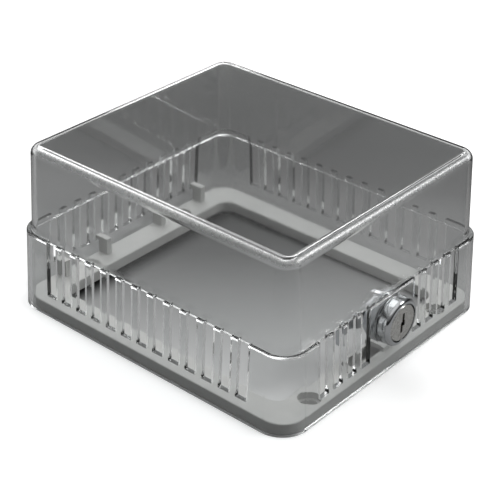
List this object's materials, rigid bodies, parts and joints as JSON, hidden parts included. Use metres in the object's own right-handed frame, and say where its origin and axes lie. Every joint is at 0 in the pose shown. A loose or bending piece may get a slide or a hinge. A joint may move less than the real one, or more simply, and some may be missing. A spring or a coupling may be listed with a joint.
{
  "type": "thermostat lock box",
  "caption": "Clear moulded guard that hooks over a wall ring and locks over a thermostat with a key-operated cam lock.",
  "frame": {"origin": "middle of the overall box, on the plane of the wall that the ring is screwed to", "axes": "+Z out of the wall; +Y towards the side that hooks on, so the lock faces -Y; +X to the right seen from the lock's front"},
  "size_m": [0.146, 0.1692, 0.0815],
  "materials": {
    "clear_grey_plastic": "gloss",
    "light_grey_plastic": "satin",
    "chrome_plated_zinc": "polished",
    "nickel_plated_zinc": "satin",
    "zinc_plated_steel": "satin",
    "spring_steel": "satin",
    "brass": "satin"
  },
  "bodies": {
    "ring_base": {"ring_base": "light_grey_plastic"},
    "cover": {"cover": "clear_grey_plastic", "lock_body": "chrome_plated_zinc", "nut_washer": "zinc_plated_steel", "mounting_nut": "zinc_plated_steel"},
    "lock_plug": {"lock_plug": "nickel_plated_zinc", "retaining_wafer": "brass", "retaining_spring": "spring_steel", "wafer_spring_1": "spring_steel", "wafer_spring_2": "spring_steel", "wafer_spring_3": "spring_steel", "wafer_spring_4": "spring_steel", "wafer_spring_5": "spring_steel", "stop_washer": "zinc_plated_steel", "cam": "zinc_plated_steel", "cam_washer": "zinc_plated_steel", "cam_screw": "zinc_plated_steel"},
    "wafer_1": {"wafer_1": "brass"},
    "wafer_2": {"wafer_2": "brass"},
    "wafer_3": {"wafer_3": "brass"},
    "wafer_4": {"wafer_4": "brass"},
    "wafer_5": {"wafer_5": "brass"}
  },
  "joints": [
    {"name": "cover_swing", "type": "hinge", "parent": "ring_base", "child": "cover", "pos_m": [0, 0.08457, 0.0004], "axis": [-1, 0, 0], "range_deg": [0, 90]},
    {"name": "lock_turn", "type": "hinge", "parent": "cover", "child": "lock_plug", "pos_m": [0, -0.07917, 0.0262], "axis": [0, -1, 0], "range_deg": [0, 90]},
    {"name": "wafer_1_slide", "type": "slide", "parent": "lock_plug", "child": "wafer_1", "axis": [0, 0, 1], "range_m": [0, 0.0008], "deforming": ["wafer_spring_1"]},
    {"name": "wafer_2_slide", "type": "slide", "parent": "lock_plug", "child": "wafer_2", "axis": [0, 0, 1], "range_m": [0, 0.0008], "deforming": ["wafer_spring_2"]},
    {"name": "wafer_3_slide", "type": "slide", "parent": "lock_plug", "child": "wafer_3", "axis": [0, 0, 1], "range_m": [0, 0.0008], "deforming": ["wafer_spring_3"]},
    {"name": "wafer_4_slide", "type": "slide", "parent": "lock_plug", "child": "wafer_4", "axis": [0, 0, 1], "range_m": [0, 0.0008], "deforming": ["wafer_spring_4"]},
    {"name": "wafer_5_slide", "type": "slide", "parent": "lock_plug", "child": "wafer_5", "axis": [0, 0, 1], "range_m": [0, 0.0008], "deforming": ["wafer_spring_5"]}
  ],
  "couplings": [
    {"joint": "wafer_2_slide", "follows": "wafer_1_slide", "ratio": 1},
    {"joint": "wafer_3_slide", "follows": "wafer_1_slide", "ratio": 1},
    {"joint": "wafer_4_slide", "follows": "wafer_1_slide", "ratio": 1},
    {"joint": "wafer_5_slide", "follows": "wafer_1_slide", "ratio": 1}
  ]
}
